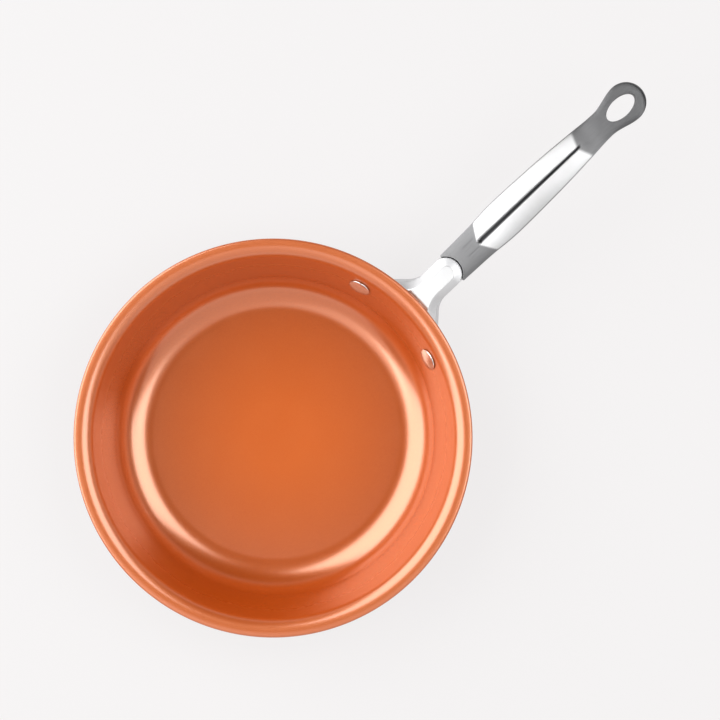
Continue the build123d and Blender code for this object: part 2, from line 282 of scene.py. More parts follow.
def make_grip_steel():
    """Make the grip's steel: brushed at the ends, polished on the lobes, painted shade in the groove and
    towards the eye.
    """
    material, tree, surface = finish_material(
        "grip_steel", {"Metallic": 1.0, "Anisotropic": 0.9, "Anisotropic Rotation": 0.25}
    )
    tangent = node(tree, "ShaderNodeTangent", direction_type="UV_MAP", uv_map="along_grip")
    tree.links.new(tangent.outputs[0], surface.inputs["Tangent"])
    along = node(tree, "ShaderNodeUVMap", uv_map="along_grip").outputs["UV"]
    stretch = node(tree, "ShaderNodeMapping", {"Vector": along, "Scale": (0.02, 1.0, 1.0)}).outputs[0]
    lobe = node(tree, "ShaderNodeAttribute", attribute_name="lobe").outputs["Fac"]
    groove = node(tree, "ShaderNodeAttribute", attribute_name="groove").outputs["Fac"]
    brushed = between(tree, grain(tree, stretch, brushed_scale, 3.0), 0.0, 1.0)
    here = node(tree, "ShaderNodeTexCoord").outputs["Object"]
    film = between(tree, grain(tree, here, 55.0, 4.0, 0.6), 0.0, 1.0)
    collar = blend_colour(tree, brushed, shade(124, 124, 125), shade(140, 140, 141))
    # Painted shade: the brushed steel turns darker from 100 mm to 135 mm along the grip, towards the eye.
    shaded_eye_end = blend_colour(tree, brushed, shade(98, 98, 99), shade(112, 112, 113))
    reach = node(tree, "ShaderNodeSeparateXYZ", {0: along}).outputs["X"]
    satin = blend_colour(tree, between(tree, reach, 0.0, 1.0, mm(100), mm(135)), collar, shaded_eye_end)
    bright = blend_colour(tree, film, shade(218, 218, 219), shade(212, 212, 212))
    both = blend_colour(tree, lobe, satin, bright)
    # Painted shade: the groove mark, full in the groove and partial in the creases, darkens the steel to a
    # dark grey.
    tree.links.new(blend_colour(tree, groove, both, shade(70, 70, 72)), surface.inputs["Base Color"])
    satin_roughness = between(tree, brushed, 0.54, 0.60, 0.0, 1.0)
    lobe_roughness = between(tree, film, 0.52, 0.56, 0.0, 1.0)
    mixed = node(tree, "ShaderNodeMix", {0: lobe, 2: satin_roughness, 3: lobe_roughness})
    tree.links.new(mixed.outputs[0], surface.inputs["Roughness"])
    unpolished = calculate(tree, "SUBTRACT", 1.0, calculate(tree, "MULTIPLY", lobe, 0.8))
    height = calculate(tree, "MULTIPLY", brushed, unpolished)
    tree.links.new(relief(tree, height, mm(0.012)), surface.inputs["Normal"])
    return material


grip_steel = make_grip_steel()
print("made", grip_steel.name)

# %% [markdown]
# The bowl, its lip and the raised pad under it are round, so one rule makes them all: a line in
# the XZ plane is turned about the axis, as on a spinning lathe. A Geometry Nodes tree does it. A
# grid has one row for each point of the line and one column for each step of the turn, and each
# grid point takes its place from the line. The same tree makes the rivets and the base's studs.

# %% Node tree helpers
def new_tree(name, inputs):
    """Start a Geometry Nodes tree with named inputs, and return it with its two ends."""
    tree = bpy.data.node_groups.new(name, "GeometryNodeTree")
    tree.interface.new_socket("Geometry", in_out="INPUT", socket_type="NodeSocketGeometry")
    for label, kind, value in inputs:
        socket = tree.interface.new_socket(label, in_out="INPUT", socket_type="NodeSocket" + kind)
        if value is not None:
            socket.default_value = value
    tree.interface.new_socket("Geometry", in_out="OUTPUT", socket_type="NodeSocketGeometry")
    return tree, tree.nodes.new("NodeGroupInput"), tree.nodes.new("NodeGroupOutput")


def count_sum(tree, operation, first, second):
    """Do one sum on two whole numbers."""
    return node(tree, "FunctionNodeIntegerMath", {0: first, 1: second}, operation=operation).outputs[0]


# %% The lathe tree
def make_lathe_tree():
    """Turn a line of points in the XZ plane about the Z axis."""
    tree, start, end = new_tree("lathe", [("Steps", "Int", 64), ("Crease", "Float", 0.6)])
    line, steps = start.outputs["Geometry"], start.outputs["Steps"]
    size = node(tree, "GeometryNodeAttributeDomainSize", {"Geometry": line})
    columns = count_sum(tree, "ADD", steps, 1)
    points = size.outputs["Point Count"]
    grid = node(tree, "GeometryNodeMeshGrid", {"Vertices X": points, "Vertices Y": columns})
    index = node(tree, "GeometryNodeInputIndex").outputs[0]
    row = count_sum(tree, "DIVIDE_FLOOR", index, columns)
    column = count_sum(tree, "MODULO", index, columns)
    place = node(tree, "GeometryNodeInputPosition").outputs[0]
    sampled = node(
        tree, "GeometryNodeSampleIndex", {"Geometry": line, "Value": place, "Index": row},
        data_type="FLOAT_VECTOR",
    )
    sweep = calculate(tree, "DIVIDE", calculate(tree, "MULTIPLY", column, 2 * pi), steps)
    turned = node(
        tree, "ShaderNodeVectorRotate", {"Vector": sampled.outputs[0], "Angle": sweep},
        rotation_type="Z_AXIS",
    )
    moved = node(
        tree, "GeometryNodeSetPosition", {"Geometry": grid.outputs["Mesh"], "Position": turned.outputs[0]}
    )
    weld = {"Geometry": moved.outputs[0], "Distance": mm(0.005)}
    merged = node(tree, "GeometryNodeMergeByDistance", weld)
    smooth = node(tree, "GeometryNodeSetShadeSmooth", {"Geometry": merged.outputs[0]})
    fold = node(tree, "GeometryNodeInputMeshEdgeAngle").outputs["Unsigned Angle"]
    creased = calculate(tree, "GREATER_THAN", fold, start.outputs["Crease"])
    sharp = node(
        tree, "GeometryNodeSetShadeSmooth",
        {"Geometry": smooth.outputs[0], "Selection": creased, "Shade Smooth": False},
        domain="EDGE",
    )
    tree.links.new(sharp.outputs[0], end.inputs["Geometry"])
    return tree


lathe_tree = make_lathe_tree()
print("made tree", lathe_tree.name, len(lathe_tree.nodes), "nodes")

# %% [markdown]
# The export needs plain meshes, so a tree is run once on its line and only the result is kept. A
# slot without a material can be left over, and a turned shape can come out with its faces
# inwards, so both are put right in the same step.

# %% Running a tree on a piece
def line_object(name, points):
    """Make an object of one line through points given in millimetres, as distance out and height."""
    mesh = bpy.data.meshes.new(name)
    edges = [(step, step + 1) for step in range(len(points) - 1)]
    mesh.from_pydata([(mm(out), 0.0, mm(up)) for out, up in points], edges, [])
    made = bpy.data.objects.new(name, mesh)
    bpy.context.scene.collection.objects.link(made)
    return made


def run_tree(source, tree, inputs):
    """Run a tree on an object and keep the result as a plain mesh with its faces outwards."""
    modifier = source.modifiers.new(tree.name, "NODES")
    modifier.node_group = tree
    for label, value in inputs.items():
        modifier[tree.interface.items_tree[label].identifier] = value
    bpy.context.view_layer.update()
    graph = bpy.context.evaluated_depsgraph_get()
    mesh = bpy.data.meshes.new_from_object(source.evaluated_get(graph), depsgraph=graph)
    source.modifiers.clear()
    source.data = mesh
    drop_empty_slots(mesh)
    face_out(mesh)
    return source


def drop_empty_slots(mesh):
    """Take out material slots that hold nothing, and keep each face on its own material."""
    kept = [material for material in mesh.materials if material is not None]
    slots = [kept.index(material) if material is not None else 0 for material in mesh.materials]
    numbers = [slots[face.material_index] if slots else 0 for face in mesh.polygons]
    mesh.materials.clear()
    for material in kept:
        mesh.materials.append(material)
    mesh.polygons.foreach_set("material_index", numbers)


def face_out(mesh):
    """Turn every face of a closed mesh outwards, and print its volume as a test."""
    work = bmesh.new()
    work.from_mesh(mesh)
    bmesh.ops.recalc_face_normals(work, faces=work.faces)
    open_edges = sum(1 for edge in work.edges if not edge.is_manifold)
    volume = round(work.calc_volume() * 1e6, 2)
    print(mesh.name, len(work.faces), "faces,", open_edges, "open edges,", volume, "cm3")
    work.to_mesh(mesh)
    work.free()


# %% [markdown]
# The bowl's line goes from the middle of the floor up the wall, round the lip and back below. Its
# sizes are those of the solid: 240 mm across, 50 mm high, 3 mm thick, with the wall leaning out by
# 22 degrees. The pad below has a turned ring and a shallow seat for the steel plate.
# Round stretches are arcs of many short steps, because the highlights show every corner of them.

# %% Arcs of a line
def arc_points(centre, radius, start, end, steps):
    """Return points along an arc, with angles in radians from straight out towards up."""
    angles = [start + (end - start) * step / steps for step in range(steps + 1)]
    return [(centre[0] + radius * cos(angle), centre[1] + radius * sin(angle)) for angle in angles]


# %% Bowl line
rim_radius, pan_height, bowl_sheet = 120.0, 50.0, 3.0
floor_top, corner_radius, lip_radius = 4.5, 23.0, 9.0
lean = radians(22.0)
turn = pi / 2 - lean
lip_end = rim_radius - bowl_sheet / 2 - 1.5
lip_start = (lip_end - lip_radius * sin(turn), pan_height - lip_radius * (1 - cos(turn)))
wall_foot = floor_top + corner_radius * (1 - cos(turn))
wall_start = (lip_start[0] - (lip_start[1] - wall_foot) * tan(lean), wall_foot)
floor_radius = wall_start[0] - corner_radius * sin(turn)
pad_radius = floor_radius - 5.0
plate_radius = pad_radius - 8.0


def on_wall(share):
    """Return the point on the inner face of the straight wall at a share of its height."""
    return tuple(foot + share * (head - foot) for foot, head in zip(wall_start, lip_start))


def bowl_line():
    """Return the whole outline of the bowl and its pad, in millimetres."""
    corner = (floor_radius, floor_top + corner_radius)
    lip = (lip_end, pan_height - lip_radius)
    points = [(0.0, floor_top), (30.0, floor_top), (60.0, floor_top), (floor_radius - 1.0, floor_top)]
    points += arc_points(corner, corner_radius, -pi / 2, -pi / 2 + turn, 26)
    points += [on_wall(share) for share in (0.03, 0.3, 0.6, 0.97)]
    points += arc_points(lip, lip_radius, pi / 2 + turn, pi / 2, 16)
    points += arc_points((rim_radius - 1.5, pan_height - 1.5), 1.5, pi / 2, -pi / 2, 14)
    points += arc_points(lip, lip_radius - bowl_sheet, pi / 2, pi / 2 + turn, 12)
    points += arc_points(corner, corner_radius + bowl_sheet, -pi / 2 + turn, -pi / 2, 26)
    points += arc_points((pad_radius + 0.3, 1.2), 0.3, pi / 2, pi, 4)
    points += arc_points((pad_radius - 0.7, 0.7), 0.7, 0.0, -pi / 2, 6)
    points += arc_points((plate_radius + 0.35, 0.25), 0.25, -pi / 2, -pi, 4)
    points += [(plate_radius + 0.1, 0.8), (plate_radius - 1.0, 0.8), (30.0, 0.8), (0.0, 0.8)]
    return points


print("bowl line", len(bowl_line()), "points")

# %% [markdown]
# The studs are the aluminium that rises through the holes of the steel plate. They stand in six
# rings, six more in each ring than in the last, so one formula gives the ring and the place in it
# of each stud from its number, and no list of places is needed.

# %% The pan body tree
def ring_of_stud(tree, index):
    """Return the ring that a stud stands in, counted from 1.

    The rings before ring r hold 3 * r * (r - 1) studs, and this is that rule turned round. The
    divisor is a little over 6, so that rounding doesn't move a ring's last stud to the next ring.
    """
    under_root = calculate(tree, "ADD", calculate(tree, "MULTIPLY", index, 12.0), 21.0)
    reduced = calculate(tree, "SUBTRACT", calculate(tree, "SQRT", under_root), 3.0)
    return calculate(tree, "CEIL", calculate(tree, "DIVIDE", reduced, 6.0001))


def stud_places(tree, count, pitch):
    """Put one point at each stud, from its ring and its turn in the ring."""
    line = node(tree, "GeometryNodeMeshLine", {"Count": count})
    index = node(tree, "GeometryNodeInputIndex").outputs[0]
    ring = ring_of_stud(tree, index)
    inner = calculate(tree, "SUBTRACT", ring, 1.0)
    before = calculate(tree, "MULTIPLY", calculate(tree, "MULTIPLY", ring, 3.0), inner)
    in_ring = calculate(tree, "SUBTRACT", index, before)
    sweep = calculate(tree, "DIVIDE", calculate(tree, "MULTIPLY", in_ring, pi / 3), ring)
    reach = calculate(tree, "MULTIPLY", ring, pitch)
    out = node(tree, "ShaderNodeCombineXYZ", {"X": reach}).outputs[0]
    place = node(tree, "ShaderNodeVectorRotate", {"Vector": out, "Angle": sweep}, rotation_type="Z_AXIS")
    sockets = {"Geometry": line.outputs[0], "Position": place.outputs[0]}
    return node(tree, "GeometryNodeSetPosition", sockets).outputs[0]


def make_pan_body_tree():
    """Turn the bowl, stand the studs in the base, and give each its finish."""
    tree, start, end = new_tree(
        "pan_body",
        [
            ("Steps", "Int", 240), ("Crease", "Float", 0.6),
            ("Stud line", "Object", None), ("Studs", "Int", 126),
            ("Ring pitch", "Float", 0.01), ("Bare below", "Float", 0.001),
            ("Coat", "Material", None), ("Bare metal", "Material", None),
        ],
    )
    bowl = node(tree, "GeometryNodeGroup", node_tree=lathe_tree)
    for label in ("Geometry", "Steps", "Crease"):
        tree.links.new(start.outputs[label], bowl.inputs[label])
    place = node(tree, "GeometryNodeInputPosition").outputs[0]
    height = node(tree, "ShaderNodeSeparateXYZ", {0: place}).outputs["Z"]
    low = calculate(tree, "LESS_THAN", height, start.outputs["Bare below"])
    coated = node(
        tree, "GeometryNodeSetMaterial",
        {"Geometry": bowl.outputs[0], "Material": start.outputs["Coat"]},
    )
    turned = node(
        tree, "GeometryNodeSetMaterial",
        {"Geometry": coated.outputs[0], "Selection": low, "Material": start.outputs["Bare metal"]},
    )
    outline = node(tree, "GeometryNodeObjectInfo", {"Object": start.outputs["Stud line"]})
    stud = node(tree, "GeometryNodeGroup", {"Steps": 20, "Crease": 0.5}, node_tree=lathe_tree)
    tree.links.new(outline.outputs["Geometry"], stud.inputs["Geometry"])
    places = stud_places(tree, start.outputs["Studs"], start.outputs["Ring pitch"])
    standing = node(tree, "GeometryNodeInstanceOnPoints", {"Points": places, "Instance": stud.outputs[0]})
    real = node(tree, "GeometryNodeRealizeInstances", {"Geometry": standing.outputs[0]})
    studs = node(
        tree, "GeometryNodeSetMaterial",
        {"Geometry": real.outputs[0], "Material": start.outputs["Bare metal"]},
    )
    joined = node(tree, "GeometryNodeJoinGeometry")
    tree.links.new(turned.outputs[0], joined.inputs[0])
    tree.links.new(studs.outputs[0], joined.inputs[0])
    tree.links.new(joined.outputs[0], end.inputs["Geometry"])
    return tree


# %% Pan body
stud_radius, stud_top, stud_rings, bare_height = 2.1, 1.0, 6, 1.35
stud_line = line_object("stud_line", [
    (0.0, 0.0), (stud_radius - 0.25, 0.0), (stud_radius - 0.05, 0.08), (stud_radius, 0.2),
    (stud_radius, stud_top), (0.0, stud_top),
])
pan = line_object("pan_body_turned", bowl_line())
pan_tree = make_pan_body_tree()
run_tree(pan, pan_tree, {
    "Steps": 240, "Crease": 0.6,
    "Stud line": stud_line, "Studs": 3 * stud_rings * (stud_rings + 1),
    "Ring pitch": mm(plate_radius / (stud_rings + 0.5)), "Bare below": mm(bare_height),
    "Coat": copper_coat, "Bare metal": turned_aluminium,
})
bpy.data.objects.remove(stud_line)
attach(pan, "root")
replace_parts(pan, "pan_body")
print("pan body", [round(size, 4) for size in pan.dimensions], [m.name for m in pan.data.materials])

# %% [markdown]
# Two rivets hold the handle. Each has a low polished head in the bowl and a domed tail outside. A
# squashed sphere could stand in for a head, but its edge would have no lip to catch the light, so
# they are turned on the same lathe. Each stands up at the origin at first, and its place is then
# put into its mesh: on the wall, square to its slope, 16.7 degrees to one side of the handle.

# %% Rivets
rivet_angle = radians(16.7)
rivet_place = on_wall(0.67)


def dome(radius, edge, top, steps):
    """Return a low dome's line from its edge to the axis."""
    rise = top - edge
    bend = (radius**2 + rise**2) / (2 * rise)
    outs = [radius * (1 - step / steps) for step in range(steps + 1)]
    return [(out, top - bend + (bend**2 - out**2) ** 0.5) for out in outs]


def rivet_line():
    """Return one rivet's outline from the top of its head to the end of its tail."""
    head = dome(6.75, 0.95, 2.0, 14)[::-1]
    head += [(6.8, 0.78), (6.75, 0.6), (6.5, 0.42), (5.0, 0.35), (3.0, 0.35), (3.0, -5.3)]
    tail = [(out, -up) for out, up in dome(5.35, 6.0, 7.75, 12)]
    return head + [(5.0, -5.32), (5.3, -5.45), (5.4, -5.7)] + tail


def make_rivet(name, side):
    """Turn a rivet and put it through the wall on one side of the handle."""
    rivet = run_tree(line_object(name, rivet_line()), lathe_tree, {"Steps": 72, "Crease": 1.0})
    angle = side * rivet_angle
    into_bowl = Vector((-cos(lean) * cos(angle), -cos(lean) * sin(angle), sin(lean)))
    across = Vector((-sin(angle), cos(angle), 0.0))
    turned = Matrix((across, into_bowl.cross(across), into_bowl)).transposed().to_4x4()
    place = Vector((mm(rivet_place[0]) * cos(angle), mm(rivet_place[0]) * sin(angle), mm(rivet_place[1])))
    rivet.data.transform(Matrix.Translation(place) @ turned)
    rivet.data.materials.append(polished_steel)
    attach(rivet, "root")
    print(name, "at", [round(value * 1000, 1) for value in place])
    return rivet


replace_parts(make_rivet("rivet_left_turned", 1), "rivet_left")
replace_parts(make_rivet("rivet_right_turned", -1), "rivet_right")

# %% [markdown]
# The grip is two thin pressed shells. One rule makes both: at each place along the curved seam
# there is a half width and a height, and the skin goes from the edge up over a rounded hump. Near
# the end the hump flattens into a plate with a round eye. A mesh in rows and columns keeps these
# curves smooth. A band of columns runs round the eye's outline, and rings fill in to its hole.

# %% Grip sizes
grip_length, waist, eye_reach = 153.8, 123.04, 12.05
pitch, end_pitch = radians(14.0), radians(4.0)
seam_radius = grip_length / (pitch - end_pitch)
mouth = (rim_radius + 30.0 * cos(pitch), 44.502)
stations = (0.0, 23.07, 38.45, 49.98, 73.82, 89.2, 104.58, waist)
half_widths = (10.4, 11.0, 12.08, 12.2, 11.55, 10.85, 9.8, 8.6)
crowns = (8.01, 8.19, 8.87, 9.0, 8.73, 8.01, 6.66, 3.4)
bellies = (8.01, 8.1, 8.46, 8.55, 8.28, 7.65, 6.21, 3.4)
plate_rise, band_reach, hump_power = 3.4, 4.0, 2.79


def ease(value, low, high):
    """Go smoothly from 0 at low to 1 at high."""
    share = min(max((value - low) / (high - low), 0.0), 1.0)
    return share * share * (3 - 2 * share)


def through(values, along, end_slope=0.0):
    """Return a smooth curve's value at a place along the grip, through the station values."""
    last = len(stations) - 1
    slopes = [(values[1] - values[0]) / (stations[1] - stations[0])]
    slopes += [(values[i + 1] - values[i - 1]) / (stations[i + 1] - stations[i - 1]) for i in range(1, last)]
    slopes.append(end_slope)
    i = min(max(sum(1 for station in stations if station <= along) - 1, 0), last - 1)
    step = stations[i + 1] - stations[i]
    t = min(max((along - stations[i]) / step, 0.0), 1.0)
    ends = values[i] * (1 + 2 * t) * (1 - t) ** 2 + values[i + 1] * t * t * (3 - 2 * t)
    return ends + step * (slopes[i] * t * (1 - t) ** 2 + slopes[i + 1] * t * t * (t - 1))


def on_grip(along, across, up):
    """Return the point at a distance along the seam's curve, across it and up from it, in metres."""
    bend = pitch - along / seam_radius
    out = mouth[0] + seam_radius * (sin(pitch) - sin(bend)) - up * sin(bend)
    height = mouth[1] + seam_radius * (cos(bend) - cos(pitch)) + up * cos(bend)
    return (mm(out), mm(across), mm(height))


print("grip from", on_grip(0, 0, 0), "to", on_grip(grip_length, 0, 0))

# %% [markdown]
# The upper shell has two long polished lobes with a groove between them, and a painted shade darkens
# the groove. The lobes begin at a slanted step behind a plain brushed collar and fade out before
# the eye. A bump texture could draw them, but their highlights would then run on flat. So they are
# pressed into the mesh, and the shape and the polish come from the same few curves, which lets
# them end together.

# %% Lobes and groove
lobe_start, lobe_end = 22.6, 102.4
collar_depth, groove_depth, crease_depth = 0.35, 2.6, 0.12


def lobe_share(along, across, half_width, fade=1.2):
    """Return 1 on the lobes and 0 on the collar and the end of the grip."""
    side = abs(across) / half_width
    corner, outer_slant, inner_slant = 0.12, 6.5, 9.0
    start = lobe_start + outer_slant * max(side - corner, 0.0) + inner_slant * max(corner - side, 0.0)
    end = lobe_end + 4.0 * side
    rising = ease(along, start - 0.5, start + 0.5)
    return rising * (1 - ease(along, end - fade, end + fade))


def groove_share(along, across):
    """Return the depth of the groove as a share, deepest in its middle."""
    wide, narrow, narrowing_length = 2.2, 1.2, 82.0
    opening = wide + (narrow - wide) * min(max((along - 23.0) / narrowing_length, 0.0), 1.0)
    ends = ease(along, lobe_start, lobe_start + 2.0) * (1 - ease(along, 102.0, 105.5))
    return ends * (1 - ease(abs(across), 0.25 * opening, opening))


def crease_share(along, across):
    """Return the depth of the two short creases that the press leaves on the collar, as a share."""
    left = 1 - ease(abs(across - 4.0), 0.1, 0.75)
    right = 1 - ease(abs(across + 2.0), 0.1, 0.6)
    return (left + right) * ease(along, 11.0, 16.0) * (1 - ease(along, 20.5, 23.0))


def skin_height(across, half_width, rise, flat):
    """Return how high the plain hump or plate stands over the seam, away from its rounded edge."""
    hump = rise * max(1 - (abs(across) / half_width) ** hump_power, 0.0) ** (1 / hump_power)
    return hump * (1 - flat) + plate_rise * flat


def pressed_in(along, across, half_width, flat):
    """Return how far the press pushes the upper skin down: the collar, the groove and the creases."""
    collar = (1 - lobe_share(along, across, half_width, 7.0)) * (1 - flat) * ease(along, 1.0, 6.0)
    groove, crease = groove_share(along, across), crease_share(along, across)
    return collar_depth * collar + groove_depth * groove + crease_depth * crease


print("groove depth in mm at its middle", round(groove_depth * groove_share(60.0, 0.0), 2))

# %% [markdown]
# The skin is made row by row. At both ends a row follows the rounded fold of the pressed sheet,
# and between them its points stand closest in the middle, where the narrow groove is. An even grid
# would be simpler, but it would leave corners on the fold and steps in the groove.

# %% Rows of the skin
band_steps, middle_steps, row_steps, mouth_blend = 9, 48, 190, 14.0
notch_radius, notch_setback, crease_shade_share = 10.3, 4.2, 0.3


def band_profile(half_width, rise, flat):
    """Return the rounded edge as pairs of distance in from the edge and height over the seam."""
    last_angle = acos((1 - band_reach / half_width) ** (hump_power / 2))
    bend = 2 / hump_power
    profile = []
    for step in range(band_steps + 1):
        share = step / band_steps
        hump_angle, plate_angle = share * last_angle, share * pi / 2
        hump = (half_width * (1 - cos(hump_angle) ** bend), rise * sin(hump_angle) ** bend)
        plate = (band_reach * (1 - max(cos(plate_angle), 0.0) ** 0.8), plate_rise * sin(plate_angle) ** 0.8)
        profile.append(tuple(a * (1 - flat) + b * flat for a, b in zip(hump, plate)))
    return profile


def mouth_edge(across):
    """Return where the round notch of the grip's mouth starts the skin."""
    return max(sqrt(max(notch_radius**2 - across**2, 0.0)) - notch_setback, 0.0)


def row_points(row, rises, upper):
    """Return one row across the skin, from the right edge to the left, with the marks of each point."""
    base = waist * row / row_steps
    half_width, rise, flat = through(half_widths, base), through(rises, base), ease(base, 104.0, waist)
    edge = [(-(half_width - inset), up, (step / band_steps) ** 2)
            for step, (inset, up) in enumerate(band_profile(half_width, rise, flat))]
    middle = []
    for step in range(1, middle_steps):
        share = 2 * step / middle_steps - 1
        across = (half_width - band_reach) * (0.3 * share + 0.7 * share**3)
        middle.append((across, skin_height(across, half_width, rise, flat), 1.0))
    points = []
    for across, up, weight in edge + middle + [(-a, u, w) for a, u, w in reversed(edge)]:
        along = base
        if base < mouth_blend:
            start = mouth_edge(across)
            along = start + (mouth_blend - start) * base / mouth_blend
        lobe = groove = 0.0
        unfolded = across + (rise * (1 - flat) + plate_rise * flat - up) * (1 if across > 0 else -1)
        if upper:
            lobe = lobe_share(along, across, half_width) * ease(half_width - abs(across), 0.3, 0.9)
            # The groove mark carries painted shade: full in the groove, and a share of it in the creases.
            groove = max(groove_share(along, across), crease_shade_share * crease_share(along, across))
            up -= weight * pressed_in(along, across, half_width, flat)
        points.append((along, across, up, lobe, groove, unfolded))
    return points


print("row of", len(row_points(0, crowns, True)), "points")

# %% [markdown]
# The end of the grip widens into a round plate with an oval hole, to hang the pan up by. A Boolean
# could cut the hole, but it would leave long thin faces that shade badly. So rings of faces lead
# from the plate's outline to the hole and over its rounded edge.

# %% Eye outline
eye_middle, hole_half_length, hole_half_width, hole_round = 137.4, 10.4, 5.6, 0.5
bulge_steps, tip_steps, ring_steps = 20, 44, 5


def eye_outline():
    """Return the eye's outline from right to left as places with the direction inwards."""
    right = []
    neck, span = half_widths[-1], grip_length - eye_reach - waist
    for step in range(1, bulge_steps):
        share = step / bulge_steps
        slope = (eye_reach - neck) * 6 * share * (1 - share) / span
        size = hypot(1.0, slope)
        half = neck + (eye_reach - neck) * ease(share, 0.0, 1.0)
        right.append((waist + span * share, -half, slope / size, 1 / size))
    tip = []
    for step in range(tip_steps + 1):
        angle = pi * step / tip_steps - pi / 2
        ahead, aside = cos(angle), sin(angle)
        tip.append((waist + span + eye_reach * ahead, eye_reach * aside, -ahead, -aside))
    left = [(along, -across, forward, -inward) for along, across, forward, inward in reversed(right)]
    return right + tip + left


def hole_point(along, across, grow):
    """Return the point of the eye's hole that faces a place, on an oval grown by a distance."""
    angle = atan2(across / hole_half_width, (along - eye_middle) / hole_half_length)
    return (eye_middle + (hole_half_length + grow) * cos(angle), (hole_half_width + grow) * sin(angle))


print("eye outline", len(eye_outline()), "places")

# %% Skin mesh
class Skin:
    """Collects the points of one shell's skin, with their marks, and the faces between them."""

    def __init__(self, facing):
        self.facing = facing
        self.places, self.lobes, self.grooves, self.unfolded, self.faces = [], [], [], [], []

    def point(self, along, across, up, lobe=0.0, groove=0.0, unfolded=None):
        """Add a point with its marks and its place on the unfolded sheet, and return its number."""
        self.places.append(on_grip(along, across, self.facing * up))
        self.lobes.append(lobe)
        self.grooves.append(groove)
        self.unfolded.append((mm(along), mm(across if unfolded is None else unfolded)))
        return len(self.places) - 1

    def bridge(self, first, second, closed=False):
        """Add the faces between two lines of points."""
        count = len(first)
        for i in range(count if closed else count - 1):
            j = (i + 1) % count
            self.faces.append((first[i], first[j], second[j], second[i]))


def eye_rings(skin, loop):
    """Fill in from the plate's inner loop to the eye's hole, round its edge and go down to the seam."""
    places = [(skin.unfolded[i][0] * 1000, skin.places[i][1] * 1000) for i in loop]
    before = loop
    heights = [(hole_round, plate_rise, step / ring_steps) for step in range(1, ring_steps + 1)]
    for step in range(1, 5):
        angle = step * pi / 8
        heights.append((hole_round * (1 - sin(angle)), plate_rise - hole_round * (1 - cos(angle)), 1.0))
    heights += [(0.0, up, 1.0) for up in (1.9, 0.9, 0.0)]
    for grow, up, share in heights:
        ring = []
        for along, across in places:
            near, beside = hole_point(along, across, grow)
            place = (along + (near - along) * share, across + (beside - across) * share)
            ring.append(skin.point(*place, up))
        skin.bridge(before, ring, closed=True)
        before = ring


def make_skin(rises, upper):
    """Make the skin of one shell: rows along the grip, a band round the eye, and rings to its hole."""
    skin = Skin(1 if upper else -1)
    rows = [[skin.point(*point) for point in row_points(row, rises, upper)] for row in range(row_steps + 1)]
    for first, second in zip(rows, rows[1:]):
        skin.bridge(first, second)
    last = rows[-1]
    bands = [last[: band_steps + 1]]
    for along, across, forward, inward in eye_outline():
        band = []
        for inset, up in band_profile(eye_reach, plate_rise, 1.0):
            unfolded = across + inward * (inset - (plate_rise - up))
            place = (along + forward * inset, across + inward * inset)
            band.append(skin.point(*place, up, unfolded=unfolded))
        bands.append(band)
    bands.append(last[: -band_steps - 2 : -1])
    for first, second in zip(bands, bands[1:]):
        skin.bridge(first, second)
    loop = [band[-1] for band in bands] + last[-band_steps - 2 : band_steps : -1]
    eye_rings(skin, loop)
    return skin


# %% [markdown]
# A pressed shell is a sheet of one thickness. Its inside could be modelled too, but a Solidify
# modifier makes it from the outer skin, with the same wall everywhere. A small bevel then breaks
# the edges of the sheet, as a file does.

# %% Shells
grip_sheet, edge_round = 1.1, 0.14


def shell_from_skin(name, skin):
    """Build a shell's mesh from its skin, give it its wall and soften the edges of the wall."""
    mesh = bpy.data.meshes.new(name)
    mesh.from_pydata(skin.places, [], skin.faces)
    for label, values in (("lobe", skin.lobes), ("groove", skin.grooves)):
        mesh.attributes.new(label, "FLOAT", "POINT").data.foreach_set("value", values)
    layer = mesh.uv_layers.new(name="along_grip")
    for corner in mesh.loops:
        layer.data[corner.index].uv = skin.unfolded[corner.vertex_index]
    work = bmesh.new()
    work.from_mesh(mesh)
    bmesh.ops.recalc_face_normals(work, faces=work.faces)
    if sum(face.normal.z * face.calc_area() for face in work.faces) * skin.facing < 0:
        bmesh.ops.reverse_faces(work, faces=work.faces)
    work.to_mesh(mesh)
    work.free()
    shell = bpy.data.objects.new(name, mesh)
    bpy.context.scene.collection.objects.link(shell)
    wall = shell.modifiers.new("wall", "SOLIDIFY")
    wall.thickness, wall.offset = mm(grip_sheet), -1.0
    edge = shell.modifiers.new("edge", "BEVEL")
    edge.width, edge.segments = mm(edge_round), 2
    edge.limit_method, edge.angle_limit = "ANGLE", radians(55)
    return finished(shell)


def finished(piece):
    """Apply a piece's modifiers, smooth it but for its sharp folds, and print what it is."""
    bpy.context.view_layer.update()
    graph = bpy.context.evaluated_depsgraph_get()
    mesh = bpy.data.meshes.new_from_object(piece.evaluated_get(graph), depsgraph=graph)
    piece.modifiers.clear()
    piece.data = mesh
    mesh.shade_smooth()
    mesh.set_sharp_from_angle(angle=radians(40))
    triangles = sum(len(face.vertices) - 2 for face in mesh.polygons)
    print(piece.name, triangles, "triangles", [round(size, 4) for size in piece.dimensions])
    return piece


for name, node_name, rises, upper in (
    ("grip_upper_pressed", "grip_upper_shell", crowns, True),
    ("grip_lower_pressed", "grip_lower_shell", bellies, False),
):
    shell = shell_from_skin(name, make_skin(rises, upper))
    shell.data.materials.append(grip_steel)
    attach(shell, "root")
    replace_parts(shell, node_name)

# %% [markdown]
# The bracket is a pressed channel with two ears, and its solid already has the right bends. The
# solid's mesh is loose triangles, which shade as flat chips, so a copy is welded and smoothed:
# its flats stay flat, and its bent edges catch one clean line of light. A mark on each point says
# whether it lies on the crown or on a slope; the slopes are rougher, and a painted shade makes
# their grey darker. The slope of the nose is flattened by up to 2.3 mm, so that no more than a
# thin dark line shows before the grip.

# %% Bracket
nose_drop, nose_lift = 4.6, 0.5


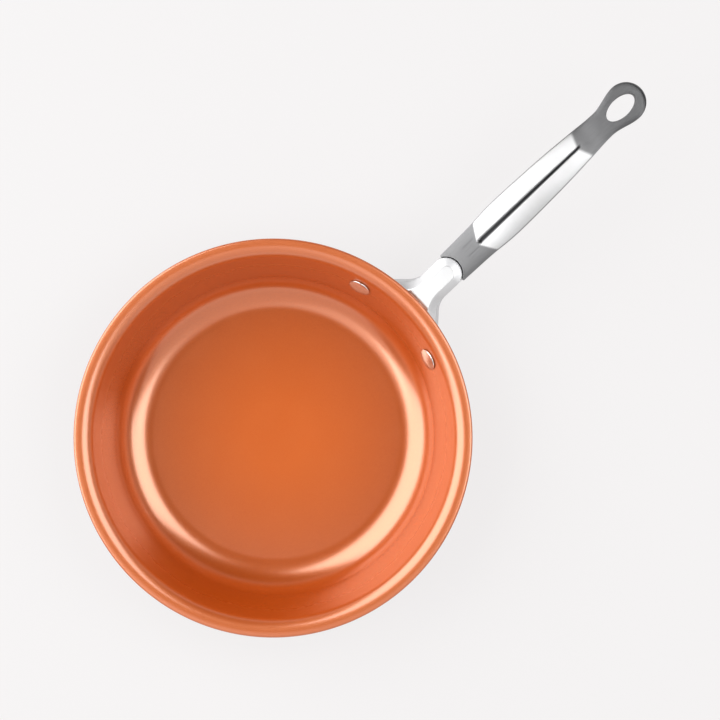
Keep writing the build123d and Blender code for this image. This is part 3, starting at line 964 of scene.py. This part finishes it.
def finish_neck(work):
    """Mark the slopes beside the neck's flat crown, and flatten the slope of its nose."""
    slope = work.verts.layers.float.new("slope")
    for point in work.verts:
        out, height = point.co.x * 1000 - mouth[0], point.co.z * 1000 - mouth[1]
        along = out * cos(pitch) + height * sin(pitch)
        drop = crowns[0] - (height * cos(pitch) - out * sin(pitch))
        # The slope mark makes the steel rougher, and darker with painted shade.
        point[slope] = ease(drop, 0.02, 0.3)
        on_nose = (1 - ease(drop, 7.0, 9.0)) * ease(along, -9.0, -2.0)
        lift = nose_lift * min(drop, nose_drop) * on_nose
        point.co += Vector((-mm(lift) * sin(pitch), 0.0, mm(lift) * cos(pitch)))


def welded_copy(name, node_name):
    """Copy a solid's mesh, weld its triangles and smooth its bends."""
    mesh = nodes[node_name].data.copy()
    mesh.name = name
    work = bmesh.new()
    work.from_mesh(mesh)
    bmesh.ops.remove_doubles(work, verts=work.verts, dist=mm(0.002))
    finish_neck(work)
    work.to_mesh(mesh)
    work.free()
    mesh.materials.clear()
    copy = bpy.data.objects.new(name, mesh)
    bpy.context.scene.collection.objects.link(copy)
    mesh.shade_smooth()
    mesh.set_sharp_from_angle(angle=radians(28))
    weighted = copy.modifiers.new("weighted", "WEIGHTED_NORMAL")
    weighted.keep_sharp = True
    return copy


bracket = welded_copy("bracket_pressed", "handle_bracket")
bracket.data.materials.append(polished_steel)
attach(bracket, "root")
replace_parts(bracket, "handle_bracket")
print("bracket", len(bracket.data.polygons), "faces")

# %% [markdown]
# The steel plate in the base is flat with round holes, and the solid shows all of that, so it
# stays as it is and only gets its finish.

# %% Base plate
plate = nodes["induction_base_plate"]
plate.data.materials.clear()
plate.data.materials.append(base_steel)
print("base plate", [round(size, 4) for size in plate.dimensions])

# %% [markdown]
# The pan stands on a pale floor that goes on past the view. The camera sees the floor a little
# brighter than the lamps light it, which gives the clean pale ground of a catalogue picture, and
# part of the lamps' light stays in it, so the pan keeps a soft shadow.

# %% Floor
pale_ground, glow_share, floor_reach = shade(244, 242, 242), 0.86, 6.0


def make_floor():
    """Make the pale round floor and its material."""
    mesh = bpy.data.meshes.new("floor")
    work = bmesh.new()
    bmesh.ops.create_circle(work, cap_ends=True, segments=64, radius=floor_reach)
    work.to_mesh(mesh)
    work.free()
    floor = bpy.data.objects.new("floor", mesh)
    bpy.context.scene.collection.objects.link(floor)
    material = bpy.data.materials.new("pale_floor")
    material.use_nodes = True
    tree = material.node_tree
    surface = tree.nodes["Principled BSDF"]
    surface.inputs["Base Color"].default_value = shade(196, 195, 195)
    surface.inputs["Roughness"].default_value = 0.9
    surface.inputs["Specular IOR Level"].default_value = 0.0
    glow = node(tree, "ShaderNodeEmission", {"Color": pale_ground, "Strength": 1.0})
    path = node(tree, "ShaderNodeLightPath")
    seen = calculate(tree, "MAXIMUM", path.outputs["Is Camera Ray"], path.outputs["Is Glossy Ray"])
    seen = calculate(tree, "MAXIMUM", seen, path.outputs["Is Transmission Ray"])
    share = calculate(tree, "MULTIPLY", seen, glow_share)
    mixed = node(tree, "ShaderNodeMixShader", {0: share, 1: surface.outputs[0], 2: glow.outputs[0]})
    tree.links.new(mixed.outputs[0], tree.nodes["Material Output"].inputs["Surface"])
    mesh.materials.append(material)
    return floor


make_floor()

# %% [markdown]
# Two soft boxes stand to the left and right, and draw the two pale crescents round the pan's floor.
# A wide weaker one on the near side lights the far wall, and a small one on the far side fills the
# gap between the others on the polished steel. The sky is dim overhead, so that the flat floor of
# the pan keeps its colour, and pale near the horizon, where polished steel shows it.

# %% Lamps and sky
lamp_distance = 1.2


def soft_box(name, turn_in_picture, tilt, size, brightness):
    """Hang a soft box that faces the pan; its brightness is what a mirror would show of it."""
    lamp = bpy.data.lights.new(name, "AREA")
    lamp.shape, lamp.size, lamp.size_y = "RECTANGLE", size[0], size[1]
    lamp.energy = brightness * pi * size[0] * size[1]
    around = radians(turn_in_picture) - handle_turn
    place = Vector((sin(tilt) * cos(around), sin(tilt) * sin(around), cos(tilt))) * lamp_distance
    holder = bpy.data.objects.new(name, lamp)
    holder.location = place
    holder.rotation_euler = place.to_track_quat("Z", "Y").to_euler()
    holder.visible_camera = False
    bpy.context.scene.collection.objects.link(holder)
    print(name, "at", [round(value, 2) for value in place], "power", round(lamp.energy, 1))


soft_box("soft_box_right", 12, radians(37), (0.9, 0.95), 4.5)
soft_box("soft_box_left", 162, radians(50), (1.7, 1.35), 4.5)
soft_box("soft_box_near", 275, radians(44), (2.4, 1.62), 0.85)
soft_box("soft_box_far", 223, radians(28), (0.55, 0.55), 0.65)


def make_sky(overhead, horizon):
    """Light the scene dimly, least from above. The camera sees it pale, and steel its lowest part."""
    world = bpy.data.worlds.new("studio")
    bpy.context.scene.world = world
    world.use_nodes = True
    tree = world.node_tree
    surround = tree.nodes["Background"]
    way = node(tree, "ShaderNodeTexCoord").outputs["Generated"]
    height = node(tree, "ShaderNodeSeparateXYZ", {0: way}).outputs["Z"]
    level = between(tree, height, horizon, overhead, 0.0, 0.45)
    tree.links.new(level, surround.inputs["Strength"])
    surround.inputs["Color"].default_value = (1.0, 1.0, 1.0, 1.0)
    pale = node(tree, "ShaderNodeBackground", {"Color": pale_ground, "Strength": 1.0})
    path = node(tree, "ShaderNodeLightPath")
    glossy, clear = path.outputs["Is Glossy Ray"], path.outputs["Is Transmission Ray"]
    low = between(tree, height, 1.0, 0.0, 0.05, 0.35)
    mirrored = calculate(tree, "MULTIPLY", calculate(tree, "MAXIMUM", glossy, clear), low)
    seen = calculate(tree, "MAXIMUM", path.outputs["Is Camera Ray"], mirrored)
    mixed = node(tree, "ShaderNodeMixShader", {0: seen, 1: surround.outputs[0], 2: pale.outputs[0]})
    tree.links.new(mixed.outputs[0], tree.nodes["World Output"].inputs["Surface"])


make_sky(overhead=0.04, horizon=0.3)
